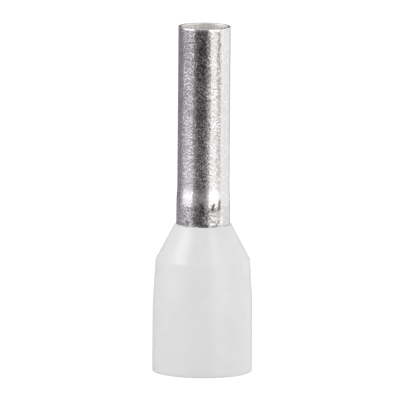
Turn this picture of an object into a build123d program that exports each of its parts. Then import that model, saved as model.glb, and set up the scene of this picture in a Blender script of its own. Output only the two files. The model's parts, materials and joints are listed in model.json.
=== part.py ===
from build123d import *
from math import atan, cos
import os

# Insulated wire ferrule for a 1.5 mm2 stranded conductor, in millimetres.
# It is two pieces: a thin tube of tin-plated copper, and a moulded collar pressed onto one end of it.
# The ferrule stands on the collar's open end. The origin is the middle of that end, and +Z runs
# along the axis to the tube's tip. Every wall is a section in the XZ plane, turned about Z.

# The metal sleeve
SLEEVE_BORE = 1.80  # inside diameter, for the bare strands
SLEEVE_WALL = 0.15  # the tube's wall, the same all the way along
PIN_LENGTH = 8.00  # bare tube beyond the collar, which goes into a terminal
SWELL_STEP = 0.035  # how far the tube widens, on the radius, just before the collar
SWELL_LENGTH = 0.85  # length of the gentle curve that widens it
NECK_LENGTH = 0.80  # widened tube that shows between that curve and the collar
FLARE_BEND = 0.40  # outside radius of the bend where the tube opens into its funnel
FLARE_STEP = 0.10  # how far the funnel's edge stays inside the collar's corner, on the radius
RIM_ROUND = 0.04  # rounding of the tube's two cut ends

# The plastic collar
COLLAR_LENGTH = 6.00  # from the open end to the lip that grips the tube
SKIRT_BORE = 3.50  # inside diameter, for the wire with its insulation
SKIRT_WALL = 0.26  # wall of the skirt, square to the axis
CONE_LENGTH = 1.45  # height of the cone from the shoulder to the lip
DRAW_LENGTH = 1.80  # height, below the shoulder, over which the skirt draws in
SHOULDER_INSET = 0.105  # how far it draws in there, on the radius
CONE_WALL = 0.40  # wall of the cone, square to its surface
LIP_WALL = 0.045  # wall of the cone at the lip, where it runs out against the tube
SKIRT_BLEND = 10.0  # outside radius of the bend where the skirt starts to draw in
SHOULDER_ROUND = 0.15  # outside radius of the shoulder
FUNNEL_ROUND = 0.12  # radius of the corner inside, where the skirt meets the funnel
LIP_ROUND = 0.02  # rounding of the lip's outer edge
MOUTH_ROUND = 0.06  # rounding of the open end's outer edge
MOUTH_CHAMFER = 0.10  # lead-in round the inside of the open end

# Radii and heights that follow from the sizes above
barrel_r = SLEEVE_BORE / 2 + SLEEVE_WALL
neck_r = barrel_r + SWELL_STEP
lip_r = neck_r + LIP_WALL
bore_r = SKIRT_BORE / 2
skirt_r = bore_r + SKIRT_WALL
shoulder_r = skirt_r - SHOULDER_INSET

lip_z = COLLAR_LENGTH
tip_z = lip_z + PIN_LENGTH
neck_top_z = lip_z + NECK_LENGTH
swell_top_z = neck_top_z + SWELL_LENGTH
shoulder_z = lip_z - CONE_LENGTH
draw_z = shoulder_z - DRAW_LENGTH

# A slope is the radius that a wall loses for each mm of height, outside and inside alike.
# The inside of the cone is its outside moved in, square to the slope, by the wall.
cone_slope = (shoulder_r - lip_r) / CONE_LENGTH
skirt_slope = SHOULDER_INSET / DRAW_LENGTH
seat_r_at_lip = lip_r - CONE_WALL / cos(atan(cone_slope))


def seat_height(radius):
    """Height at which the inside of the cone, where the sleeve's funnel lies, has this radius."""
    return lip_z - (radius - seat_r_at_lip) / cone_slope


# The inside of the cone meets the tube at the throat, and the inside of the skirt at the corner.
# Both are straight in the section. Carried down to the base they are gap_at_base apart, and that
# over the difference of their slopes is the height at which they cross.
throat_z = seat_height(neck_r)
gap_at_base = (seat_r_at_lip + cone_slope * lip_z) - (bore_r + skirt_slope * draw_z)
corner_z = gap_at_base / (cone_slope - skirt_slope)
corner_r = bore_r - skirt_slope * (corner_z - draw_z)
flare_r = corner_r - FLARE_STEP

# Edge breaks stay within the wall that they are cut from.
rim_round = min(RIM_ROUND, 0.4 * SLEEVE_WALL)
mouth_round = min(MOUTH_ROUND, 0.3 * SKIRT_WALL)
mouth_chamfer = min(MOUTH_CHAMFER, 0.5 * SKIRT_WALL)
lip_round = min(LIP_ROUND, LIP_WALL)


def metal_sleeve():
    """Drawn tube of one wall: a straight pin, a slight swell, a neck, and a funnel for the strands."""
    with BuildPart() as sleeve:
        with BuildSketch(Plane.XZ) as section:
            with BuildLine():
                pin = Line((barrel_r, tip_z), (barrel_r, swell_top_z))
                swell_middle = ((barrel_r + neck_r) / 2, neck_top_z + SWELL_LENGTH / 2)
                swell = TangentArc(pin @ 1, swell_middle, tangent=pin % 1)
                TangentArc(swell @ 1, (neck_r, neck_top_z), tangent=swell % 1)
                FilletPolyline(
                    (neck_r, neck_top_z),
                    (neck_r, throat_z),
                    (flare_r, seat_height(flare_r)),
                    radius=FLARE_BEND,
                )
                offset(amount=SLEEVE_WALL, side=Side.RIGHT)
            make_face()
            corners = section.vertices().sort_by(Axis.Y)
            fillet(corners[:2] + corners[-2:], radius=rim_round)
        revolve(axis=Axis.Z)
    return sleeve.part


def plastic_collar():
    """Moulded collar: a skirt for the insulation, and a cone whose inside is the funnel's seat."""
    corners = (
        ((skirt_r, 0), mouth_round),
        ((skirt_r, draw_z), SKIRT_BLEND),
        ((shoulder_r, shoulder_z), SHOULDER_ROUND),
        ((lip_r, lip_z), lip_round),
        ((neck_r, lip_z), 0),
        ((neck_r, throat_z), FLARE_BEND),
        ((corner_r, corner_z), FUNNEL_ROUND),
        ((bore_r, draw_z), SKIRT_BLEND - SKIRT_WALL),
        ((bore_r, mouth_chamfer), 0),
        ((bore_r + mouth_chamfer, 0), 0),
    )
    points, rounds = zip(*corners)
    with BuildPart() as collar:
        with BuildSketch(Plane.XZ):
            with BuildLine():
                FilletPolyline(*points, radius=rounds, close=True)
            make_face()
        revolve(axis=Axis.Z)
    return collar.part


os.makedirs("parts", exist_ok=True)
export_step(metal_sleeve(), "parts/metal_sleeve.step")
export_step(plastic_collar(), "parts/plastic_collar.step")
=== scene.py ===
"""Wire ferrule: the tin-plated sleeve and the moulded collar, dressed and lit for their portrait."""
import json
import logging
import math
from collections.abc import Iterable, Mapping, Sequence
from dataclasses import dataclass
from enum import Enum
from typing import Any

import bmesh
import bpy
from mathutils import Matrix, Vector


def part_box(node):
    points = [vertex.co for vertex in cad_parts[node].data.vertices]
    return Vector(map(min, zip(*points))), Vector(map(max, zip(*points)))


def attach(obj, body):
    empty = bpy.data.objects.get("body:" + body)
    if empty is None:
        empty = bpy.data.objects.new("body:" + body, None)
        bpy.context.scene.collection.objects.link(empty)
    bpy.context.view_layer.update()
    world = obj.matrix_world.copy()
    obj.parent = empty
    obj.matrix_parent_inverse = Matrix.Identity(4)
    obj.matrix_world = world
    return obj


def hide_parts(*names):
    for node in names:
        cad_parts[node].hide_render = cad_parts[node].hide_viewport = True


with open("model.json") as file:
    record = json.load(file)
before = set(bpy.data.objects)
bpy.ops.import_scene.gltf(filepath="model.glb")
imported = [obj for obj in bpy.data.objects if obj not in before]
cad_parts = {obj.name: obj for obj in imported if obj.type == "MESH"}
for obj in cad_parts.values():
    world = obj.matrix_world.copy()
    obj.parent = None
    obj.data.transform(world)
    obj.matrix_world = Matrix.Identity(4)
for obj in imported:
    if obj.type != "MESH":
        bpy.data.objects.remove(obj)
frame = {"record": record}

LOG = logging.getLogger("wire_ferrule")

MM = 0.001  # one millimetre, in metres
BODY = "root"  # the body that both pieces ride on

Socket = bpy.types.NodeSocket
Inputs = Mapping[str | int, Any]
Span = tuple[float, float]
Triple = tuple[float, float, float]
Colour = Triple

BLACK: Colour = (0.0, 0.0, 0.0)
WHITE: Colour = (1.0, 1.0, 1.0)

FLOAT = "NodeSocketFloat"


class NodeSketch:
    """Adds nodes to one tree, sets their inputs and wires them together."""

    def __init__(self, tree: bpy.types.NodeTree) -> None:
        """Keeps the tree that the nodes go into."""
        self.tree = tree

    def feed(self, node: bpy.types.Node, inputs: Inputs) -> None:
        """Gives a node its inputs.

        Args:
            node: the node.
            inputs: a value, or a socket to wire in, for each input by name or number.
        """
        for key, value in inputs.items():
            if isinstance(value, Socket):
                self.tree.links.new(value, node.inputs[key])
            else:
                node.inputs[key].default_value = value

    def add(self, kind: str, inputs: Inputs | None = None, **settings: Any) -> bpy.types.Node:
        """Adds a node.

        Args:
            kind: the node's type name.
            inputs: a value, or a socket to wire in, for each input by name or number.
            **settings: the node's own options, set before its inputs.

        Returns:
            The new node.
        """
        node = self.tree.nodes.new(kind)
        for name, value in settings.items():
            setattr(node, name, value)
        self.feed(node, inputs or {})
        return node

    def math(self, operation: str, *values: Any) -> Socket:
        """Adds a Math node of that operation on these values or sockets, and returns its output."""
        return self.add("ShaderNodeMath", dict(enumerate(values)), operation=operation).outputs[0]

    def product(self, first: Any, *others: Any) -> Any:
        """Multiplies values.

        Args:
            first: a value or socket.
            *others: the values or sockets that it is multiplied by.

        Returns:
            The product.
        """
        for other in others:
            first = self.math("MULTIPLY", first, other)
        return first

    def smooth(self, value: Any, low: Any, high: Any, start: Any = 0.0, end: Any = 1.0) -> Socket:
        """Eases a value from one end to the other.

        Args:
            value: what goes from low to high.
            low: the value at which it starts.
            high: the value at which it ends.
            start: what comes out at low.
            end: what comes out at high.

        Returns:
            The eased value.
        """
        return self.add(
            "ShaderNodeMapRange",
            {"Value": value, "From Min": low, "From Max": high, "To Min": start, "To Max": end},
            interpolation_type="SMOOTHSTEP",
        ).outputs[0]

    def band(self, value: Any, middle: Any, half: Any, soft: Any) -> Socket:
        """Returns how far a value is within a band.

        Args:
            value: the value.
            middle: the band's middle.
            half: half its width, as far as where it has faded by half.
            soft: how far the fade reaches each way from there.

        Returns:
            1 in the middle of the band, and 0 outside it.
        """
        away = self.math("ABSOLUTE", self.math("SUBTRACT", value, middle))
        low = self.math("SUBTRACT", half, soft)
        high = self.math("ADD", half, soft)
        return self.smooth(away, low, high, 1.0, 0.0)

    def mix(self, factor: Any, first: Any, second: Any) -> Socket:
        """Returns the value between first and second, by factor."""
        # The node names its sockets alike for every kind of value, so they go by number here.
        return self.add("ShaderNodeMix", {0: factor, 2: first, 3: second}, data_type="FLOAT").outputs[0]

    def blend(self, factor: Any, first: Socket | Colour, second: Socket | Colour) -> Socket:
        """Blends two colours.

        Args:
            factor: how far the blend is from the first to the second.
            first: a colour or socket.
            second: a colour or socket.

        Returns:
            The colour between them.
        """
        colours = {
            number: colour if isinstance(colour, Socket) else (*colour, 1.0)
            for number, colour in ((6, first), (7, second))
        }
        return self.add("ShaderNodeMix", {0: factor, **colours}, data_type="RGBA").outputs[2]

    def relief(self, layers: Iterable[tuple[Socket, float]]) -> Socket | None:
        """Lays bumps over one another.

        Args:
            layers: each layer's height, from 0 to 1, and its full depth in millimetres.

        Returns:
            The normal of them all, or None if there is no layer.
        """
        normal = None
        for height, depth_mm in layers:
            inputs = {"Height": height, "Distance": depth_mm * MM, "Strength": 1.0}
            if normal is not None:
                inputs["Normal"] = normal
            normal = self.add("ShaderNodeBump", inputs).outputs["Normal"]
        return normal


def group_tree(
    name: str, kind: str, inputs: Mapping[str, str], outputs: Mapping[str, str]
) -> tuple[NodeSketch, Mapping[str, Socket], bpy.types.Node]:
    """Makes a node group with named inputs and outputs.

    Args:
        name: the group's name.
        kind: its tree type.
        inputs: each input's name and kind of value.
        outputs: each output's name and kind of value.

    Returns:
        The sketch to draw in, the inputs' sockets by name, and the output node.
    """
    tree = bpy.data.node_groups.new(name, kind)
    for way, sockets in (("INPUT", inputs), ("OUTPUT", outputs)):
        for label, value_kind in sockets.items():
            tree.interface.new_socket(label, in_out=way, socket_type=value_kind)
    sketch = NodeSketch(tree)
    given = sketch.add("NodeGroupInput").outputs
    return sketch, {label: given[label] for label in inputs}, sketch.add("NodeGroupOutput")


class Grain(Enum):
    """The kinds of fine surface on the two finishes, by how dense their cells are along X, Y and Z."""

    TUMBLED = (0.80, 0.80, 0.66)
    DRAWN = (1.0, 1.0, 0.02)
    SCUFFED = (1.0, 1.0, 0.55)
    MOULDED = (1.0, 1.0, 1.0)


@dataclass(frozen=True)
class GrainLayer:
    """One layer of grain on a finish.

    It has so many cells for each millimetre. Detail adds finer octaves and warp distorts them. Its
    spots are where the noise is above the level, and its seed takes another part of the noise. The
    depth is that of its relief, where it has one.
    """

    kind: Grain
    cells: float
    detail: float = 2.0
    warp: float = 0.0
    level: float = 0.48
    seed: float = 0.0
    depth_mm: float = 0.0


@dataclass(frozen=True)
class SoftPatch:
    """A patch with soft edges, by its middle, half size and fade across and upwards."""

    middle: Span
    half: Span
    soft: Span


class GroupShelf:
    """The shader groups that the finishes and the studio share, each made once."""

    NOISE_ROUGHNESS = 0.55  # strength of the finer octaves
    NOISE_SPAN = (0.25, 0.75)  # the noise that becomes height 0 and height 1
    SPOT_EDGE = 0.16  # how far above its level the noise is where a spot is whole
    HALF_TURN = 180.0  # in degrees

    def __init__(self) -> None:
        """Makes the groups."""
        self.grain = self._grain_group()
        self.patch = self._patch_group()

    def _grain_group(self) -> bpy.types.NodeTree:
        """Makes the group that gives both finishes their fine relief and blotches.

        Returns:
            The group. Its inputs are the place in millimetres and a grain layer's values. It puts out
            a height and a mask of the spots, both from 0 to 1.
        """
        values = ("Cells", "Detail", "Warp", "Level")
        sketch, given, out = group_tree(
            "fine_grain",
            "ShaderNodeTree",
            {"Place": "NodeSocketVector", **dict.fromkeys(values, FLOAT)},
            dict.fromkeys(("Height", "Mask"), FLOAT),
        )
        noise = sketch.add(
            "ShaderNodeTexNoise",
            {
                "Vector": given["Place"],
                "Scale": given["Cells"],
                "Detail": given["Detail"],
                "Roughness": self.NOISE_ROUGHNESS,
                "Distortion": given["Warp"],
            },
        ).outputs["Fac"]
        full = sketch.math("ADD", given["Level"], self.SPOT_EDGE)
        height = sketch.smooth(noise, *self.NOISE_SPAN)
        sketch.feed(out, {"Height": height, "Mask": sketch.smooth(noise, given["Level"], full)})
        return sketch.tree

    def _patch_group(self) -> bpy.types.NodeTree:
        """Makes the group that says how far a place is inside a soft patch, from 0 to 1.

        Returns:
            The group. Across is an angle in degrees. Up is another angle for the studio's cards, and
            a height in millimetres for a mark on the sleeve.
        """
        labels = (
            "Across", "Middle", "Half Width", "Soft Side",
            "Up", "Height", "Half Height", "Soft End",
        )
        inputs = dict.fromkeys(labels, FLOAT)
        sketch, given, out = group_tree("soft_patch", "ShaderNodeTree", inputs, {"Mask": FLOAT})
        turned = sketch.math("SUBTRACT", given["Across"], given["Middle"])
        turned = sketch.math("WRAP", turned, self.HALF_TURN, -self.HALF_TURN)
        across = sketch.band(turned, 0.0, given["Half Width"], given["Soft Side"])
        upwards = sketch.band(given["Up"], given["Height"], given["Half Height"], given["Soft End"])
        sketch.feed(out, {"Mask": sketch.product(across, upwards)})
        return sketch.tree

    def grained(self, sketch: NodeSketch, place: Socket, layer: GrainLayer) -> bpy.types.Node:
        """Places a layer of grain on a piece.

        Args:
            sketch: the material's sketch.
            place: the place in millimetres.
            layer: the layer.

        Returns:
            The group's node, with outputs Height and Mask.
        """
        drawn_out = sketch.add(
            "ShaderNodeMapping",
            {"Vector": place, "Location": (layer.seed,) * 3, "Scale": layer.kind.value},
        )
        inputs = {
            "Place": drawn_out.outputs["Vector"],
            "Cells": layer.cells,
            "Detail": layer.detail,
            "Warp": layer.warp,
            "Level": layer.level,
        }
        return sketch.add("ShaderNodeGroup", inputs, node_tree=self.grain)

    def patched(
        self, sketch: NodeSketch, across: Socket, up: Socket, patch: SoftPatch, name: str
    ) -> Socket:
        """Places a soft patch.

        Args:
            sketch: the sketch to draw in.
            across: the angle of the place, in degrees.
            up: its other angle, or its height.
            patch: the patch.
            name: what the patch is, for the node's label.

        Returns:
            How far the place is inside the patch.
        """
        inputs = {
            "Across": across,
            "Middle": patch.middle[0],
            "Half Width": patch.half[0],
            "Soft Side": patch.soft[0],
            "Up": up,
            "Height": patch.middle[1],
            "Half Height": patch.half[1],
            "Soft End": patch.soft[1],
        }
        return sketch.add("ShaderNodeGroup", inputs, node_tree=self.patch, label=name).outputs["Mask"]


def start_material(name: str) -> tuple[bpy.types.Material, NodeSketch, bpy.types.Node, Socket]:
    """Makes a material with nodes.

    Args:
        name: the material's name.

    Returns:
        The material, the sketch of its tree, its shader, and the place on the piece in millimetres.
    """
    material = bpy.data.materials.new(name)
    material.use_nodes = True
    sketch = NodeSketch(material.node_tree)
    shader = material.node_tree.nodes["Principled BSDF"]
    place = sketch.add("ShaderNodeTexCoord").outputs["Object"]
    scaled = sketch.add("ShaderNodeMapping", {"Vector": place, "Scale": (1 / MM,) * 3})
    return material, sketch, shader, scaled.outputs["Vector"]


@dataclass(frozen=True)
class PaintedMark:
    """A soft patch of colour painted on the neck: a dark one is painted shade, a white one a painted
    highlight.

    Its turn about the axis is in degrees, from the side towards the camera and positive to +X. Its
    lean is how many degrees it turns for each millimetre of height.
    """

    name: str
    turn: float
    height_mm: float
    half_width: float
    half_length_mm: float
    strength: float
    colour: Colour = (0.10, 0.098, 0.09)
    lean: float = 0.0
    soft_side_share: float = 0.6
    soft_end_share: float = 0.5

    def patch(self) -> SoftPatch:
        """Returns the mark as a patch of the neck."""
        soft = (self.half_width * self.soft_side_share, self.half_length_mm * self.soft_end_share)
        return SoftPatch((self.turn, self.height_mm), (self.half_width, self.half_length_mm), soft)


@dataclass(frozen=True)
class TinPlate:
    """Bright tin plating on drawn copper tube: tumbled grain and draw lines, scuffed neck, dull bore.

    Heights, edges and reaches are in millimetres, and turns in degrees as for a tool mark. An edge
    is where a zone starts and where it is whole, from the size that it belongs to.
    """

    colour: Colour
    bore_radius: float
    neck_top: float
    swell_middle: float
    tip_height: float

    dimples: GrainLayer = GrainLayer(Grain.TUMBLED, 12.5, detail=1.5, level=0.56, depth_mm=0.0013)
    specks: GrainLayer = GrainLayer(Grain.TUMBLED, 17.0, detail=0.3, warp=0.6, depth_mm=0.0013)
    pits: GrainLayer = GrainLayer(Grain.TUMBLED, 8.5, detail=2.5, warp=0.5, level=0.52, depth_mm=0.0014)
    patches: GrainLayer = GrainLayer(Grain.TUMBLED, 1.7, detail=3.0, warp=0.5)
    lines: GrainLayer = GrainLayer(Grain.DRAWN, 9.0, detail=1.0, depth_mm=0.0014)
    scuffs: GrainLayer = GrainLayer(Grain.SCUFFED, 7.0, warp=1.0, seed=3.0, depth_mm=0.0026)

    glint_share: float = 1.20  # how bright a glint is, over the plating's colour
    # Painted shade: the neck is darker all round.
    neck_shade: float = 0.90  # how bright the neck is, over the rest
    scuff_colour: Colour = (0.36, 0.355, 0.34)
    pit_shade: float = 0.23  # how far a pit darkens the tube
    neck_pit_shade: float = 0.40  # how far a pit darkens the scuffed neck
    tip_roughness: float = 0.12
    neck_roughness: float = 0.22
    speck_haze: float = 0.17  # roughness that a speck adds
    patch_haze: float = 0.05  # roughness that the broad patches add

    bore_edge: Span = (0.02, 0.08)
    bore_colour: Colour = (0.80, 0.785, 0.755)
    # Painted light: the bore's inside is lighter at its sides than at its back, which keeps the plain bore
    # colour.
    bore_lit_side_colour: Colour = (1.0, 0.99, 0.97)
    bore_lit_side_turns: Span = (135.0, 155.0)  # the turns, each way, between the bore's two colours
    bore_metal: float = 0.50
    bore_roughness: float = 0.36

    neck_edge: Span = (-0.05, 0.10)
    scuffed_turn: float = -30.0  # middle of the part of the neck that was gripped
    scuffed_half_width: float = 72.0
    scuffed_soft: float = 6.0
    wiped_turns: Span = (34.0, 46.0)  # where the side that was wiped smooth starts and is whole
    wiped_lines: float = 2.2  # depth of the draw lines there, over that in front
    wiped_pits: float = 0.35  # darkness of the pits there, over that in front
    swell_reach: float = 0.30
    swell_soft: float = 0.12
    swell_calm: float = 0.90  # share of the relief that the swell lacks
    swell_clean: float = 0.80  # share of the pits' darkness that the swell lacks
    rim_edge: Span = (-0.12, -0.04)
    rim_calm: float = 0.70  # share of both that the rim lacks
    tip_calm: float = 0.22  # share of the relief and the specks that the tip lacks
    patch_span: Span = (0.2, 0.8)  # heights of the patches at which the relief is calmest and liveliest
    patch_calm: float = 0.45  # how much calmer or livelier it is there

    marks: tuple[PaintedMark, ...] = (
        # Painted shade: the dents' dark look, and one broad patch that widens the dark band mirrored on the
        # neck.
        PaintedMark("broad_shade", -12.0, 6.43, 13.0, 0.42, 0.18),
        PaintedMark("middle_dent", -3.5, 6.76, 4.2, 0.20, 0.55),
        PaintedMark("leaning_dent", 21.4, 6.78, 2.8, 0.165, 1.0, lean=18.0),
        PaintedMark("side_dent", 36.8, 6.85, 3.0, 0.21, 0.80, lean=6.0),
        # Painted highlights: white patches where the neck looks brightest.
        PaintedMark("burnished_foot", 19.2, 6.10, 7.0, 0.05, 0.80, (1.0, 1.0, 0.98)),
        PaintedMark("burnished_side", 42.6, 6.24, 3.5, 0.17, 0.70, WHITE),
        PaintedMark("burnished_left", -80.0, 6.40, 19.0, 0.45, 0.85, WHITE),
    )

    def material(self, shelf: GroupShelf) -> bpy.types.Material:
        """Returns the plating's material, with its groups from the shelf."""
        return PlateTree(self, shelf).finished()


class PlateTree:
    """The plating's node tree: the tube's zones, its grain, and what its shader takes from them."""

    def __init__(self, plate: TinPlate, shelf: GroupShelf) -> None:
        """Starts the material, finds the tube's zones and lays its grain.

        Args:
            plate: the plating.
            shelf: the shared groups.
        """
        self.plate = plate
        self.shelf = shelf
        self.material, self.sketch, self.shader, place = start_material("tin_plate")
        self._find_place(place)
        self._find_zones()
        self.dimples, self.specks, self.pits, self.patches, self.lines, self.scuffs = (
            shelf.grained(self.sketch, place, layer)
            for layer in (plate.dimples, plate.specks, plate.pits, plate.patches, plate.lines, plate.scuffs)
        )

    def _find_place(self, place: Socket) -> None:
        """Works out the height, the turn about the axis, and how far the place is outside the bore.

        Args:
            place: the place in millimetres.
        """
        math_of, plate = self.sketch.math, self.plate
        x, y, self.height = self.sketch.add("ShaderNodeSeparateXYZ", {0: place}).outputs
        square = math_of("ADD", math_of("POWER", x, 2.0), math_of("POWER", y, 2.0))
        inner, outer = (plate.bore_radius + edge for edge in plate.bore_edge)
        self.outside = self.sketch.smooth(math_of("SQRT", square), inner, outer)
        self.turn = math_of("DEGREES", math_of("ARCTAN2", x, math_of("MULTIPLY", y, -1.0)))

    def _find_zones(self) -> None:
        """Works out how far the place is in each zone of the tube's outside."""
        sketch, plate = self.sketch, self.plate
        low, high = (plate.neck_top + edge for edge in plate.neck_edge)
        self.neck = sketch.smooth(self.height, low, high, 1.0, 0.0)
        side = sketch.band(self.turn, plate.scuffed_turn, plate.scuffed_half_width, plate.scuffed_soft)
        self.gripped = sketch.product(self.neck, side)
        self.swell = sketch.band(self.height, plate.swell_middle, plate.swell_reach, plate.swell_soft)
        low, high = (plate.tip_height + edge for edge in plate.rim_edge)
        self.rim_share = sketch.smooth(self.height, low, high, 1.0, 1.0 - plate.rim_calm)
        self.tip_share = self._along(1.0, 1.0 - plate.tip_calm)

    def _along(self, at_neck: float, at_tip: float) -> Socket:
        """Returns a value eased from one at the top of the neck to another at the tip."""
        return self.sketch.smooth(self.height, self.plate.neck_top, self.plate.tip_height, at_neck, at_tip)

    def _wiped(self, share: float) -> Socket:
        """Returns 1 at the front, and this share round the side that the press wiped smooth."""
        return self.sketch.smooth(self.turn, *self.plate.wiped_turns, 1.0, share)

    def _less_swell(self, share: float) -> Socket:
        """Returns 1, less this share on the swell."""
        return self.sketch.math("MULTIPLY_ADD", self.swell, -share, 1.0)

    def _relief(self) -> Socket | None:
        """Lays the grain, the draw lines and the neck's scuffs.

        Returns:
            The normal of them all.
        """
        sketch, plate = self.sketch, self.plate
        calm = sketch.product(self.rim_share, self._less_swell(plate.swell_calm))
        least, most = 1.0 - plate.patch_calm, 1.0 + plate.patch_calm
        lively = sketch.smooth(self.patches.outputs["Height"], *plate.patch_span, least, most)
        lively = sketch.product(lively, self.tip_share)
        grainy = sketch.product(self.outside, sketch.product(calm, lively))
        lined = sketch.product(self.outside, self._wiped(plate.wiped_lines))
        layers = (
            (self.dimples.outputs["Height"], grainy, plate.dimples),
            (self.specks.outputs["Height"], grainy, plate.specks),
            (self.pits.outputs["Mask"], grainy, plate.pits),
            (self.lines.outputs["Height"], lined, plate.lines),
            (self.scuffs.outputs["Height"], self.gripped, plate.scuffs),
        )
        return sketch.relief(
            (sketch.product(height, share), layer.depth_mm) for height, share, layer in layers
        )

    def _roughness(self) -> Socket:
        """Works out the roughness: polished towards the tip, hazy in specks and patches, dull inside.

        Returns:
            The roughness.
        """
        sketch, plate = self.sketch, self.plate
        haze = sketch.math(
            "MULTIPLY_ADD",
            sketch.product(self.specks.outputs["Mask"], self.tip_share),
            plate.speck_haze,
            self._along(plate.neck_roughness, plate.tip_roughness),
        )
        haze = sketch.math("MULTIPLY_ADD", self.patches.outputs["Height"], plate.patch_haze, haze)
        return sketch.mix(self.outside, plate.bore_roughness, haze)

    def _pitted(self) -> Socket:
        """Works out how far the pits darken the place.

        Returns:
            The share of black.
        """
        sketch, plate = self.sketch, self.plate
        depth = sketch.product(
            sketch.smooth(self.gripped, 0.0, 1.0, plate.pit_shade, plate.neck_pit_shade),
            self.rim_share,
            self._less_swell(plate.swell_clean),
            self._wiped(plate.wiped_pits),
        )
        return sketch.product(self.pits.outputs["Mask"], depth)

    def _marked(self, tone: Socket, mark: PaintedMark) -> Socket:
        """Lays one painted patch, of shade or of highlight, over the tone.

        Args:
            tone: the colour so far.
            mark: the mark.

        Returns:
            The colour with the mark.
        """
        sketch = self.sketch
        straightened = sketch.math("MULTIPLY_ADD", self.height, -mark.lean, mark.height_mm * mark.lean)
        across = sketch.math("ADD", self.turn, straightened)
        inside = self.shelf.patched(sketch, across, self.height, mark.patch(), mark.name)
        return sketch.blend(sketch.product(inside, mark.strength), tone, mark.colour)

    def _tone(self) -> Socket:
        """Works out the colour: glints and pits, the neck's painted shade and its painted patches, and the
        bore with its painted lit sides.

        Returns:
            The colour.
        """
        sketch, plate = self.sketch, self.plate
        glint = tuple(channel * plate.glint_share for channel in plate.colour)
        tone = sketch.blend(self.dimples.outputs["Mask"], plate.colour, glint)
        # Painted shade: the whole neck is made darker by neck_shade.
        tone = sketch.blend(self.neck, tone, sketch.blend(1.0 - plate.neck_shade, tone, BLACK))
        scuffed = sketch.product(self.gripped, self.scuffs.outputs["Mask"])
        tone = sketch.blend(scuffed, tone, plate.scuff_colour)
        tone = sketch.blend(self._pitted(), tone, BLACK)
        for mark in plate.marks:
            tone = self._marked(tone, mark)
        # Painted light: the bore's sides are lighter than its back.
        lit_side = sketch.smooth(sketch.math("ABSOLUTE", self.turn), *plate.bore_lit_side_turns, 1.0, 0.0)
        bore = sketch.blend(lit_side, plate.bore_colour, plate.bore_lit_side_colour)
        return sketch.blend(self.outside, bore, tone)

    def finished(self) -> bpy.types.Material:
        """Feeds the shader.

        Returns:
            The finished material.
        """
        inputs = {
            "Base Color": self._tone(),
            "Roughness": self._roughness(),
            "Metallic": self.sketch.smooth(self.outside, 0.0, 1.0, self.plate.bore_metal, 1.0),
            "Normal": self._relief(),
        }
        self.sketch.feed(self.shader, inputs)
        return self.material


@dataclass(frozen=True)
class CollarPlastic:
    """Pale natural polypropylene: satin, very slightly uneven, and a little light goes into it."""

    colour: Colour
    flow: GrainLayer = GrainLayer(Grain.MOULDED, 1.2, detail=1.0, warp=0.3)
    skin: GrainLayer = GrainLayer(Grain.MOULDED, 16.0, detail=1.0, depth_mm=0.0006)
    shade: float = 0.985
    roughness: float = 0.27
    roughness_spread: float = 0.06
    translucence: float = 0.10
    light_depth_mm: float = 0.35

    def material(self, shelf: GroupShelf) -> bpy.types.Material:
        """Builds the collar's material.

        Args:
            shelf: the shared groups.

        Returns:
            The material.
        """
        material, sketch, shader, place = start_material("collar_plastic")
        flow = shelf.grained(sketch, place, self.flow)
        skin = shelf.grained(sketch, place, self.skin).outputs["Height"]
        darker = tuple(channel * self.shade for channel in self.colour)
        inputs = {
            "Base Color": sketch.blend(flow.outputs["Mask"], self.colour, darker),
            "Roughness": sketch.math("MULTIPLY_ADD", skin, self.roughness_spread, self.roughness),
            "Normal": sketch.relief([(skin, self.skin.depth_mm)]),
            "Subsurface Weight": self.translucence,
            "Subsurface Radius": WHITE,
            "Subsurface Scale": self.light_depth_mm * MM,
        }
        sketch.feed(shader, inputs)
        return material


@dataclass(frozen=True)
class Corner:
    """One corner of a half section, in millimetres: distance from the axis, height and rounding."""

    radius: float
    height: float
    rounding: float


@dataclass(frozen=True)
class Wear:
    """How uneven a turned piece is, in millimetres: shallow dings outside and a ragged upper edge."""

    ding_depth: float = 0.0
    ding_cells: float = 3.0
    edge_depth: float = 0.0
    edge_reach: float = 0.1
    edge_cells: float = 2.0
    seed: int = 0


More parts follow.
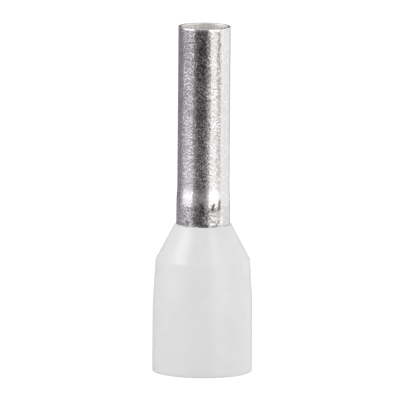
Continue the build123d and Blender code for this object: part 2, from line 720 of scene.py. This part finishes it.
class TurningTree:
    """Geometry Nodes that turn a half section about the Z axis and wear the result."""

    INPUTS = {
        "Section": "NodeSocketGeometry",
        "Sides": "NodeSocketInt",
        "Step": FLOAT,
        "Arc Points": "NodeSocketInt",
        "Ding Depth": FLOAT,
        "Ding Cells": FLOAT,
        "Edge Height": FLOAT,
        "Edge Depth": FLOAT,
        "Edge Reach": FLOAT,
        "Edge Cells": FLOAT,
        "Seed": FLOAT,
        "Finish": "NodeSocketMaterial",
    }
    RING_RADIUS = 0.01  # of the sweep's path, and any size does, because each point is placed anew
    DING_DETAIL = 1.0  # octaves of the dings' noise
    EDGE_DETAIL = 2.0  # octaves of the edge's noise
    EDGE_SPREAD = 0.15  # the noise, each way, at which the edge is highest or lowest

    def __init__(self) -> None:
        """Builds the tree once, for every turned piece."""
        self.sketch, self.given, out = group_tree(
            "turned_piece", "GeometryNodeTree", self.INPUTS, {"Piece": "NodeSocketGeometry"}
        )
        self.tree = self.sketch.tree
        self.tree.is_modifier = True
        worn = self._worn(self._turned(self._outline()))
        smooth = self.sketch.add("GeometryNodeSetShadeSmooth", {"Geometry": worn})
        real = self.sketch.add("GeometryNodeRealizeInstances", {"Geometry": smooth.outputs[0]})
        dressed = self.sketch.add(
            "GeometryNodeSetMaterial",
            {"Geometry": real.outputs[0], "Material": self.given["Finish"]},
        )
        self.sketch.feed(out, {"Piece": dressed.outputs[0]})

    def _outline(self) -> Socket:
        """Rounds the section's corners and divides its straight runs evenly.

        Returns:
            The closed curve.
        """
        add, math_of = self.sketch.add, self.sketch.math
        curve = add("GeometryNodeMeshToCurve", {"Mesh": self.given["Section"]}).outputs[0]
        rounding = add("GeometryNodeInputNamedAttribute", {"Name": "rounding"}).outputs[0]
        rounded = add(
            "GeometryNodeFilletCurve",
            {"Curve": curve, "Count": self.given["Arc Points"], "Radius": rounding},
            mode="POLY",
        ).outputs[0]
        index = add("GeometryNodeInputIndex").outputs[0]
        following = add("GeometryNodeOffsetPointInCurve", {"Point Index": index, "Offset": 1})
        here = add("GeometryNodeInputPosition").outputs[0]
        there = add(
            "GeometryNodeFieldAtIndex",
            {"Index": following.outputs["Point Index"], 0: here},
            data_type="FLOAT_VECTOR",
        ).outputs[0]
        run = add("ShaderNodeVectorMath", {0: here, 1: there}, operation="DISTANCE").outputs["Value"]
        cuts = math_of("FLOOR", math_of("DIVIDE", run, self.given["Step"]))
        return add("GeometryNodeSubdivideCurve", {"Curve": rounded, "Cuts": cuts}).outputs[0]

    def _turned(self, outline: Socket) -> Socket:
        """Sweeps the outline round a ring and puts each point at its own turn about the axis.

        Args:
            outline: the closed half section, with radius along X and height along Z.

        Returns:
            The closed mesh.
        """
        add, math_of = self.sketch.add, self.sketch.math
        ring = add(
            "GeometryNodeCurvePrimitiveCircle",
            {"Resolution": self.given["Sides"], "Radius": self.RING_RADIUS},
        )
        share = math_of("DIVIDE", add("GeometryNodeInputIndex").outputs[0], self.given["Sides"])
        path = add(
            "GeometryNodeStoreNamedAttribute",
            {"Geometry": ring.outputs[0], "Name": "turn", "Value": math_of("MULTIPLY", share, math.tau)},
        ).outputs[0]
        section = add(
            "GeometryNodeStoreNamedAttribute",
            {"Geometry": outline, "Name": "section", "Value": add("GeometryNodeInputPosition").outputs[0]},
            data_type="FLOAT_VECTOR",
        ).outputs[0]
        swept = add("GeometryNodeCurveToMesh", {"Curve": path, "Profile Curve": section}).outputs[0]
        turn = add("GeometryNodeInputNamedAttribute", {"Name": "turn"}).outputs[0]
        place = add(
            "GeometryNodeInputNamedAttribute", {"Name": "section"}, data_type="FLOAT_VECTOR"
        ).outputs[0]
        radius, _, height = add("ShaderNodeSeparateXYZ", {0: place}).outputs
        x = math_of("MULTIPLY", radius, math_of("COSINE", turn))
        y = math_of("MULTIPLY", radius, math_of("SINE", turn))
        point = add("ShaderNodeCombineXYZ", {0: x, 1: y, 2: height}).outputs[0]
        return add("GeometryNodeSetPosition", {"Geometry": swept, "Position": point}).outputs[0]

    def _noise(self, cells: Socket, detail: float) -> Socket:
        """Adds noise for the wear.

        Args:
            cells: how many cells it has for each millimetre.
            detail: how many finer octaves it has.

        Returns:
            The noise, about 0 and within half each way.
        """
        place = self.sketch.add("GeometryNodeInputPosition").outputs[0]
        noise = self.sketch.add(
            "ShaderNodeTexNoise",
            {
                "Vector": place,
                "W": self.given["Seed"],
                "Scale": self.sketch.math("DIVIDE", cells, MM),
                "Detail": detail,
            },
            noise_dimensions="4D",
        ).outputs["Fac"]
        return self.sketch.math("SUBTRACT", noise, 0.5)

    def _worn(self, piece: Socket) -> Socket:
        """Presses shallow dings into the piece and makes its upper edge uneven, downwards only.

        Args:
            piece: the turned mesh.

        Returns:
            The worn mesh.
        """
        add, math_of, given = self.sketch.add, self.sketch.math, self.given
        dent = math_of("MULTIPLY", self._noise(given["Ding Cells"], self.DING_DETAIL), given["Ding Depth"])
        inward = math_of("MINIMUM", dent, 0.0)
        normal = add("GeometryNodeInputNormal").outputs[0]
        push = add("ShaderNodeVectorMath", {0: normal, "Scale": inward}, operation="SCALE").outputs[0]
        dinged = add("GeometryNodeSetPosition", {"Geometry": piece, "Offset": push}).outputs[0]

        height = add("ShaderNodeSeparateXYZ", {0: add("GeometryNodeInputPosition").outputs[0]}).outputs[2]
        start = math_of("SUBTRACT", given["Edge Height"], given["Edge Reach"])
        near = self.sketch.smooth(height, start, given["Edge Height"])
        unevenness = self._noise(given["Edge Cells"], self.EDGE_DETAIL)
        ragged = self.sketch.smooth(unevenness, -self.EDGE_SPREAD, self.EDGE_SPREAD, 0.0, -1.0)
        drop = math_of("MULTIPLY", math_of("MULTIPLY", near, ragged), given["Edge Depth"])
        fall = add("ShaderNodeCombineXYZ", {2: drop}).outputs[0]
        return add("GeometryNodeSetPosition", {"Geometry": dinged, "Offset": fall}).outputs[0]


@dataclass(frozen=True)
class FerruleSizes:
    """The sizes that the two pieces share, in millimetres. The frame gives those that have no value here.

    The inside of the collar's cone is its outside moved in, square to the slope, by the cone's wall.
    The sleeve's funnel lies on it.
    """

    sleeve_bore_radius: float
    barrel_radius: float
    tip_height: float
    skirt_bore_radius: float
    skirt_reach: float
    lip_height: float
    swell_step: float = 0.035
    lip_wall: float = 0.045
    skirt_wall: float = 0.26
    cone_wall: float = 0.40
    cone_length: float = 1.45
    draw_length: float = 1.80
    shoulder_inset: float = 0.105
    flare_step: float = 0.10
    flare_bend: float = 0.40

    @property
    def neck_radius(self) -> float:
        """Outside radius of the tube inside the collar."""
        return self.barrel_radius + self.swell_step

    @property
    def lip_radius(self) -> float:
        """Outside radius of the collar's lip."""
        return self.neck_radius + self.lip_wall

    @property
    def shoulder_height(self) -> float:
        """Height at which the skirt ends and the cone starts."""
        return self.lip_height - self.cone_length

    @property
    def draw_height(self) -> float:
        """Height at which the skirt starts to draw in."""
        return self.shoulder_height - self.draw_length

    @property
    def cone_slope(self) -> float:
        """The radius that the cone loses for each millimetre of height."""
        shoulder_radius = self.skirt_bore_radius + self.skirt_wall - self.shoulder_inset
        return (shoulder_radius - self.lip_radius) / self.cone_length

    @property
    def seat_radius_at_lip(self) -> float:
        """Radius that the inside of the cone would have at the lip's height."""
        return self.lip_radius - self.cone_wall / math.cos(math.atan(self.cone_slope))

    def seat_height(self, radius: float) -> float:
        """Returns the height at which the inside of the cone, where the funnel lies, has this radius."""
        return self.lip_height - (radius - self.seat_radius_at_lip) / self.cone_slope

    @property
    def inner_corner(self) -> tuple[float, float]:
        """The corner where the insides of the skirt and the cone meet.

        Returns:
            Its radius and height.
        """
        skirt_slope = self.shoulder_inset / self.draw_length
        seat_at_draw = self.seat_radius_at_lip + self.cone_slope * (self.lip_height - self.draw_height)
        rise = (seat_at_draw - self.skirt_bore_radius) / (self.cone_slope - skirt_slope)
        return self.skirt_bore_radius - skirt_slope * rise, self.draw_height + rise


@dataclass(kw_only=True)
class TurnedPiece:
    """A piece with a round section: its corners are turned about the axis by the turning tree."""

    sizes: FerruleSizes
    name: str
    node: str
    slot: str
    wear: Wear
    step: float = 0.065
    sides: int = 168
    arc_points: int = 7

    def corners(self) -> list[Corner]:
        """Returns the closed half section's corners, in order."""
        raise NotImplementedError

    def _section(self) -> bpy.types.Mesh:
        """Draws the half section.

        Returns:
            A closed loop of edges, which holds each corner's rounding.
        """
        corners = self.corners()
        mesh = bpy.data.meshes.new(self.name)
        places = [(corner.radius * MM, 0.0, corner.height * MM) for corner in corners]
        edges = [(i, (i + 1) % len(corners)) for i in range(len(corners))]
        mesh.from_pydata(places, edges, [])
        rounding = mesh.attributes.new("rounding", "FLOAT", "POINT")
        rounding.data.foreach_set("value", [corner.rounding * MM for corner in corners])
        return mesh

    def _inputs(self, finish: bpy.types.Material) -> Mapping[str, Any]:
        """Gathers the turning tree's inputs for this piece.

        Args:
            finish: the piece's material.

        Returns:
            The inputs by name.
        """
        return {
            "Sides": self.sides,
            "Step": self.step * MM,
            "Arc Points": self.arc_points,
            "Ding Depth": self.wear.ding_depth * MM,
            "Ding Cells": self.wear.ding_cells,
            "Edge Height": max(corner.height for corner in self.corners()) * MM,
            "Edge Depth": self.wear.edge_depth * MM,
            "Edge Reach": self.wear.edge_reach * MM,
            "Edge Cells": self.wear.edge_cells,
            "Seed": float(self.wear.seed),
            "Finish": finish,
        }

    def build(self, turning: TurningTree, finish: bpy.types.Material) -> bpy.types.Object:
        """Makes the finished piece and sets it in the frame in place of its plain solid.

        Args:
            turning: the tree that turns the section.
            finish: the piece's material.

        Returns:
            The piece, as a plain mesh.
        """
        piece = bpy.data.objects.new(self.name, self._section())
        bpy.context.scene.collection.objects.link(piece)
        modifier = piece.modifiers.new("turning", "NODES")
        modifier.node_group = turning.tree
        inputs = self._inputs(finish)
        for item in turning.tree.interface.items_tree:
            if item.in_out == "INPUT" and item.name in inputs:
                modifier[item.identifier] = inputs[item.name]
        depsgraph = bpy.context.evaluated_depsgraph_get()
        mesh = bpy.data.meshes.new_from_object(piece.evaluated_get(depsgraph))
        piece.modifiers.remove(modifier)
        self._face_outwards(mesh)
        mesh.name = self.name
        piece.data = mesh
        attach(piece, BODY)
        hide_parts(self.node)
        LOG.info("%s: %d faces, stands for %s", self.name, len(mesh.polygons), self.node)
        return piece

    @staticmethod
    def _face_outwards(mesh: bpy.types.Mesh) -> None:
        """Turns a closed mesh's faces outwards and drops the attributes that only the tree needed.

        Args:
            mesh: the mesh.
        """
        work = bmesh.new()
        work.from_mesh(mesh)
        bmesh.ops.recalc_face_normals(work, faces=work.faces)
        if work.calc_volume(signed=True) < 0:
            bmesh.ops.reverse_faces(work, faces=work.faces)
        work.to_mesh(mesh)
        work.free()
        for label in ("rounding", "turn", "section"):
            if label in mesh.attributes:
                mesh.attributes.remove(mesh.attributes[label])


@dataclass(kw_only=True)
class MetalSleeve(TurnedPiece):
    """The drawn tube: a straight pin, a slight swell, a neck, and a funnel inside the collar."""

    swell_length: float = 0.88
    neck_length: float = 0.77
    neck_taper: float = 0.004
    rim_round: float = 0.028

    @property
    def neck_top(self) -> float:
        """Height at which the neck ends and the swell starts."""
        return self.sizes.lip_height + self.neck_length

    @property
    def swell_middle(self) -> float:
        """Height of the middle of the swell."""
        return self.neck_top + self.swell_length / 2

    def corners(self) -> list[Corner]:
        """Returns the tube's outside from tip to funnel, and then its inside back up.

        Returns:
            The corners, in order. Two arcs that meet in the middle make each side of the swell.
        """
        sizes = self.sizes
        wall = sizes.barrel_radius - sizes.sleeve_bore_radius
        neck_start = sizes.neck_radius - self.neck_taper
        swell_foot = self.neck_top + self.swell_length / 4
        swell_head = self.neck_top + 3 * self.swell_length / 4
        arc = self.swell_length**2 / (4 * (sizes.swell_step - self.neck_taper))
        throat_height = sizes.seat_height(sizes.neck_radius)
        funnel_radius = sizes.inner_corner[0] - sizes.flare_step
        funnel_height = sizes.seat_height(funnel_radius)
        slant = math.atan(sizes.cone_slope)
        inner_throat = throat_height + wall * math.tan(slant / 2)
        inner_radius = funnel_radius - wall * math.cos(slant)
        inner_height = funnel_height - wall * math.sin(slant)
        bend = sizes.flare_bend
        return [
            Corner(sizes.barrel_radius, sizes.tip_height, self.rim_round),
            Corner(sizes.barrel_radius, swell_head, arc),
            Corner(neck_start, swell_foot, arc),
            Corner(sizes.neck_radius, throat_height, bend),
            Corner(funnel_radius, funnel_height, self.rim_round),
            Corner(inner_radius, inner_height, self.rim_round),
            Corner(sizes.neck_radius - wall, inner_throat, bend + wall),
            Corner(neck_start - wall, swell_foot, arc),
            Corner(sizes.sleeve_bore_radius, swell_head, arc),
            Corner(sizes.sleeve_bore_radius, sizes.tip_height, self.rim_round),
        ]


@dataclass(kw_only=True)
class PlasticCollar(TurnedPiece):
    """The moulded collar: a plain skirt that draws in to the shoulder, and a cone up to the lip."""

    skirt_blend: float = 10.0
    shoulder_round: float = 0.15
    funnel_round: float = 0.12
    lip_round: float = 0.025
    lip_edge: float = 0.01
    mouth_round: float = 0.06
    mouth_chamfer: float = 0.10
    mouth_edge: float = 0.02

    def corners(self) -> list[Corner]:
        """Returns the collar's outside from mouth to lip, and then its inside back down.

        Returns:
            The corners, in order.
        """
        sizes = self.sizes
        reach, bore = sizes.skirt_reach, sizes.skirt_bore_radius
        return [
            Corner(reach, 0.0, self.mouth_round),
            Corner(reach, sizes.draw_height, self.skirt_blend),
            Corner(reach - sizes.shoulder_inset, sizes.shoulder_height, self.shoulder_round),
            Corner(sizes.lip_radius, sizes.lip_height, self.lip_round),
            Corner(sizes.neck_radius, sizes.lip_height, self.lip_edge),
            Corner(sizes.neck_radius, sizes.seat_height(sizes.neck_radius), sizes.flare_bend),
            Corner(*sizes.inner_corner, self.funnel_round),
            Corner(bore, sizes.draw_height, self.skirt_blend - (reach - bore)),
            Corner(bore, self.mouth_chamfer, self.mouth_edge),
            Corner(bore + self.mouth_chamfer, 0.0, self.mouth_edge),
        ]


@dataclass(frozen=True)
class StudioCard:
    """One soft-edged card or lamp face round the object, by direction in degrees.

    Azimuth 0 is towards the camera and grows towards +X. Elevation is above the horizon.
    """

    name: str
    azimuth: Span
    elevation: Span
    colour: Colour
    soft_side: float = 3.0
    soft_end: float = 2.0

    def patch(self) -> SoftPatch:
        """Works out the card's place among the directions round the object.

        Returns:
            The card as a soft patch.
        """
        sides = (self.azimuth, self.elevation)
        middle = tuple((low + high) / 2 for low, high in sides)
        half = tuple((high - low) / 2 for low, high in sides)
        return SoftPatch(middle, half, (self.soft_side, self.soft_end))


@dataclass(frozen=True)
class StudioLamp:
    """One large soft lamp aimed at the object, by direction in degrees.

    Its energy is in watts, and its size and distance are in metres.
    """

    name: str
    azimuth: float
    elevation: float
    energy: float
    size: float = 0.10
    distance: float = 0.12
    aim_height: float = 0.007

    def build(self) -> bpy.types.Object:
        """Hangs the lamp. It lights the object but doesn't show in its gloss: the cards do that.

        Returns:
            The lamp's object.
        """
        lamp = bpy.data.lights.new(self.name, "AREA")
        lamp.shape = "DISK"
        lamp.size = self.size
        lamp.energy = self.energy
        holder = bpy.data.objects.new(self.name, lamp)
        turn, rise = math.radians(self.azimuth), math.radians(self.elevation)
        way = Vector((math.sin(turn) * math.cos(rise), -math.cos(turn) * math.cos(rise), math.sin(rise)))
        holder.location = way * self.distance + Vector((0.0, 0.0, self.aim_height))
        holder.rotation_euler = way.to_track_quat("Z", "Y").to_euler()
        holder.visible_glossy = False
        bpy.context.scene.collection.objects.link(holder)
        return holder


@dataclass(frozen=True)
class StudioFloor:
    """The pale floor, open under the collar so that light reaches its inside.

    To the light it is plain paint of its albedo. To the camera it glows near white, and darker paint
    over the glow keeps the shadow: of that paint's albedo, a floor that nothing shades sends back the
    lit share. From below it is clear. Its reach is in metres.
    """

    hole_mm: float
    backdrop: float
    reach: float = 0.8
    sides: int = 256
    albedo: float = 0.86
    shadow: float = 0.22
    lit_share: float = 0.6

    def _mesh(self) -> bpy.types.Mesh:
        """Draws a wide flat disc with a round hole in its middle.

        Returns:
            The mesh.
        """
        turns = [math.tau * i / self.sides for i in range(self.sides)]
        places = [
            (radius * math.cos(turn), radius * math.sin(turn), 0.0)
            for radius in (self.hole_mm * MM, self.reach)
            for turn in turns
        ]
        faces = []
        for here in range(self.sides):
            following = (here + 1) % self.sides
            faces.append((here, here + self.sides, following + self.sides, following))
        mesh = bpy.data.meshes.new("studio_floor")
        mesh.from_pydata(places, [], faces)
        return mesh

    def _paint(self) -> bpy.types.Material:
        """Mixes the floor's paint: plain and pale to the light, and near white to the camera.

        Returns:
            The material.
        """
        material = bpy.data.materials.new("floor_paint")
        material.use_nodes = True
        nodes = material.node_tree.nodes
        nodes.remove(nodes["Principled BSDF"])
        sketch = NodeSketch(material.node_tree)
        add = sketch.add
        path = add("ShaderNodeLightPath").outputs
        below = add("ShaderNodeNewGeometry").outputs["Backfacing"]
        plain, shaded = (
            add("ShaderNodeBsdfDiffuse", {"Color": (albedo, albedo, albedo, 1.0)}).outputs[0]
            for albedo in (self.albedo, self.shadow)
        )
        glow = add("ShaderNodeEmission", {"Strength": self.backdrop - self.lit_share * self.shadow})
        white = add("ShaderNodeAddShader", {0: shaded, 1: glow.outputs[0]}).outputs[0]
        above = add("ShaderNodeMixShader", {0: path["Is Camera Ray"], 1: plain, 2: white}).outputs[0]
        hidden = sketch.product(below, path["Is Camera Ray"])
        clear = add("ShaderNodeBsdfTransparent").outputs[0]
        look = add("ShaderNodeMixShader", {0: hidden, 1: above, 2: clear}).outputs[0]
        sketch.feed(nodes["Material Output"], {"Surface": look})
        return material

    def build(self) -> bpy.types.Object:
        """Lays the floor.

        Returns:
            The floor's object.
        """
        mesh = self._mesh()
        floor = bpy.data.objects.new("studio_floor", mesh)
        bpy.context.scene.collection.objects.link(floor)
        floor.visible_glossy = False
        mesh.materials.append(self._paint())
        return floor


@dataclass(frozen=True)
class Studio:
    """The surroundings: a white tent with cards for the metal to mirror, soft lamps and a floor.

    The gloss sees the tent between the cards. The ambient light falls evenly on the object.
    """

    cards: Sequence[StudioCard]
    lamps: Sequence[StudioLamp]
    hole_mm: float
    tent: float = 0.65
    ambient: float = 0.86
    backdrop: float = 1.0

    def _seen_in_gloss(self, shelf: GroupShelf, sketch: NodeSketch) -> Socket:
        """Lays the cards over the tent.

        Args:
            shelf: the shared groups.
            sketch: the world's sketch.

        Returns:
            The colour that the object's gloss sees in a direction.
        """
        way = sketch.add("ShaderNodeTexCoord").outputs["Generated"]
        x, y, z = sketch.add("ShaderNodeSeparateXYZ", {0: way}).outputs
        towards_camera = sketch.math("MULTIPLY", y, -1.0)
        azimuth = sketch.math("DEGREES", sketch.math("ARCTAN2", x, towards_camera))
        elevation = sketch.math("DEGREES", sketch.math("ARCSINE", z))
        seen = (self.tent,) * 3
        for card in self.cards:
            inside = shelf.patched(sketch, azimuth, elevation, card.patch(), card.name)
            seen = sketch.blend(inside, seen, card.colour)
        return seen

    def _build_world(self, shelf: GroupShelf) -> None:
        """Builds the world: white to the camera, even light on the object, and the cards in its gloss.

        Args:
            shelf: the shared groups.
        """
        world = bpy.data.worlds.new("studio")
        bpy.context.scene.world = world
        world.use_nodes = True
        world.cycles.sampling_method = "NONE"
        sketch = NodeSketch(world.node_tree)
        path = sketch.add("ShaderNodeLightPath").outputs
        light = sketch.blend(path["Is Camera Ray"], (self.ambient,) * 3, (self.backdrop,) * 3)
        light = sketch.blend(path["Is Glossy Ray"], light, self._seen_in_gloss(shelf, sketch))
        sketch.feed(world.node_tree.nodes["Background"], {"Color": light})

    def build(self, shelf: GroupShelf) -> None:
        """Builds the world, the floor and the lamps.

        Args:
            shelf: the shared groups.
        """
        self._build_world(shelf)
        StudioFloor(self.hole_mm, self.backdrop).build()
        for lamp in self.lamps:
            lamp.build()
        LOG.info("studio: %d cards, %d lamps", len(self.cards), len(self.lamps))


@dataclass(frozen=True)
class PortraitCamera:
    """The camera, placed as in the picture: a long lens a little above the object, very slightly rolled.

    Its angles are in degrees, its distance and clip in metres, and its sensor in millimetres.
    """

    elevation: float = 8.5
    distance: float = 0.70
    frame_width_mm: float = 16.074
    roll: float = 0.433
    aim_mm: Triple = (-0.131, 0.0, 6.939)
    sensor: float = 36.0
    clip: Span = (0.01, 10.0)

    def build(self) -> bpy.types.Object:
        """Makes the camera and gives it to the scene.

        Returns:
            The camera's object.
        """
        data = bpy.data.cameras.new("portrait")
        data.sensor_width = self.sensor
        data.lens = self.sensor * self.distance / (self.frame_width_mm * MM)
        data.clip_start, data.clip_end = self.clip
        camera = bpy.data.objects.new("portrait", data)
        rise = math.radians(self.elevation)
        back = Vector((0.0, -math.cos(rise), math.sin(rise)))
        turn = back.to_track_quat("Z", "Y").to_matrix() @ Matrix.Rotation(math.radians(self.roll), 3, "Z")
        place = Vector(self.aim_mm) * MM + back * self.distance
        camera.matrix_world = Matrix.Translation(place) @ turn.to_4x4()
        bpy.context.scene.collection.objects.link(camera)
        bpy.context.scene.camera = camera
        return camera


CARDS = (
    StudioCard("dim_table_behind", (-200.0, -106.0), (-90.0, 60.0), (0.25, 0.24, 0.265)),
    StudioCard("dark_behind", (-210.0, -130.0), (-2.0, 16.0), (0.13, 0.13, 0.13)),
    StudioCard("strip_behind", (168.0, 190.0), (-90.0, -4.0), (0.85, 0.85, 0.86), 4.0),
    StudioCard("left_table", (-106.0, -49.0), (-90.0, -4.6), (0.325, 0.306, 0.326), 3.0, 1.0),
    StudioCard("left_table_edge", (-106.0, -49.0), (-90.0, -15.0), (0.17, 0.16, 0.17), 3.0, 3.0),
    StudioCard("left_tent", (-106.0, -43.0), (-4.6, 22.0), (0.68, 0.657, 0.68), 1.5, 1.0),
    StudioCard("right_table", (20.0, 62.0), (-90.0, -4.6), (0.90, 0.876, 0.824), 2.0, 1.0),
    StudioCard("right_table_edge", (16.0, 70.0), (-90.0, -15.0), (0.34, 0.33, 0.31), 3.0, 3.0),
    StudioCard("right_tent", (15.0, 72.0), (-4.6, 22.0), (1.45, 1.42, 1.36), 1.5, 1.0),
    StudioCard("tent_seam", (60.0, 78.0), (-90.0, -4.6), (0.37, 0.361, 0.351), 3.0),
    StudioCard("far_tent", (78.0, 148.0), (-90.0, 14.0), (1.02, 0.983, 0.974)),
    StudioCard("far_tent_edge", (78.0, 91.0), (-90.0, 10.0), (1.16, 1.123, 1.104), 2.0),
    StudioCard("tent_fold", (150.0, 167.0), (-90.0, 10.0), (0.45, 0.43, 0.44), 3.0),
    StudioCard("opening_haze", (-51.0, 27.0), (-90.0, 24.0), (0.195, 0.186, 0.178), 4.0),
    StudioCard("opening_brow", (-44.0, 20.0), (-4.6, 10.0), (0.31, 0.30, 0.29), 5.0, 1.5),
    StudioCard("camera_opening", (-34.0, 12.0), (-90.0, -5.0), (0.018, 0.016, 0.015), 9.0, 1.0),
    StudioCard("left_tent_core", (-100.0, -46.0), (-3.5, 14.0), (2.4, 2.3, 2.4), 1.5, 1.0),
    StudioCard("right_tent_core", (22.0, 70.0), (-2.8, 14.0), (2.8, 2.75, 2.65), 1.5, 1.0),
    StudioCard("top_tent", (-360.0, 360.0), (66.0, 120.0), (1.4, 1.4, 1.4), 1.0, 4.0),
    StudioCard("key_face", (-93.0, -50.0), (22.0, 52.0), (3.7, 3.7, 3.7), 5.0, 5.0),
    StudioCard("key_wing", (-172.0, -134.0), (29.0, 52.0), (2.6, 2.6, 2.6), 4.0, 3.0),
    StudioCard("fill_face", (30.0, 58.0), (34.0, 56.0), (2.7, 2.7, 2.7), 6.0, 6.0),
    StudioCard("dark_ceiling", (-46.0, 26.0), (24.0, 66.0), (0.18, 0.18, 0.18), 4.0, 4.0),
)

LAMPS = (
    StudioLamp("key_softbox", -65.0, 42.0, 0.0030),
    StudioLamp("fill_softbox", 35.0, 48.0, 0.004),
    StudioLamp("rear_left_softbox", -140.0, 15.0, 0.037),
    StudioLamp("rear_right_softbox", 125.0, 15.0, 0.008),
)

FLOOR_OVERLAP_MM = 0.04  # how far the floor reaches in under the collar's skirt


def mount_radius(name: str) -> float:
    """Returns the radius of a mount in the frame's record, in millimetres."""
    mounts = {mount["name"]: mount for mount in frame["record"]["mounts"]}
    return mounts[name]["dims"]["r_mm"]


def slot_colour(name: str) -> Colour:
    """Returns the base colour that the frame's record gives a material slot."""
    slots = {material["slot"]: material for material in frame["record"]["materials"]}
    return tuple(slots[name]["base_color"][:3])


def ferrule_sizes() -> FerruleSizes:
    """Reads the ferrule's main sizes off the frame.

    Returns:
        The sizes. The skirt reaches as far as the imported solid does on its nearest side, because the
        solid's flat facets leave it a little short of its own radius there.
    """
    low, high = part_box("plastic_collar")
    _, sleeve_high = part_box("metal_sleeve")
    return FerruleSizes(
        sleeve_bore_radius=mount_radius("sleeve_bore"),
        barrel_radius=mount_radius("sleeve_pin"),
        tip_height=sleeve_high.z / MM,
        skirt_bore_radius=mount_radius("insulation_bore"),
        skirt_reach=min(high.x, high.y, -low.x, -low.y) / MM,
        lip_height=high.z / MM,
    )


def build_sleeve(sizes: FerruleSizes, turning: TurningTree, shelf: GroupShelf) -> None:
    """Builds the tin-plated sleeve.

    Args:
        sizes: the ferrule's sizes.
        turning: the tree that turns the section.
        shelf: the shared groups.
    """
    sleeve = MetalSleeve(
        sizes=sizes,
        name="tinned_sleeve",
        node="metal_sleeve",
        slot="tinned_copper",
        wear=Wear(ding_depth=0.006, ding_cells=2.2, edge_depth=0.008, edge_cells=1.6, seed=4),
    )
    plate = TinPlate(
        colour=slot_colour(sleeve.slot),
        bore_radius=sizes.sleeve_bore_radius,
        neck_top=sleeve.neck_top,
        swell_middle=sleeve.swell_middle,
        tip_height=sizes.tip_height,
    )
    sleeve.build(turning, plate.material(shelf))


def build_collar(sizes: FerruleSizes, turning: TurningTree, shelf: GroupShelf) -> None:
    """Builds the moulded collar.

    Args:
        sizes: the ferrule's sizes.
        turning: the tree that turns the section.
        shelf: the shared groups.
    """
    collar = PlasticCollar(
        sizes=sizes,
        name="moulded_collar",
        node="plastic_collar",
        slot="collar_plastic",
        wear=Wear(edge_depth=0.035, edge_reach=0.08, edge_cells=4.0, seed=9),
        step=0.10,
    )
    plastic = CollarPlastic(slot_colour(collar.slot))
    collar.build(turning, plastic.material(shelf))


def main() -> None:
    """Builds the ferrule and its studio round the frame."""
    logging.basicConfig(level=logging.INFO, format="%(name)s: %(message)s")
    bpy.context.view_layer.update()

    sizes = ferrule_sizes()
    shelf = GroupShelf()
    turning = TurningTree()
    build_sleeve(sizes, turning, shelf)
    build_collar(sizes, turning, shelf)
    Studio(CARDS, LAMPS, sizes.skirt_reach - FLOOR_OVERLAP_MM).build(shelf)
    PortraitCamera().build()
    bpy.context.scene.view_settings.view_transform = "Standard"


if __name__ == "__main__":
    main()
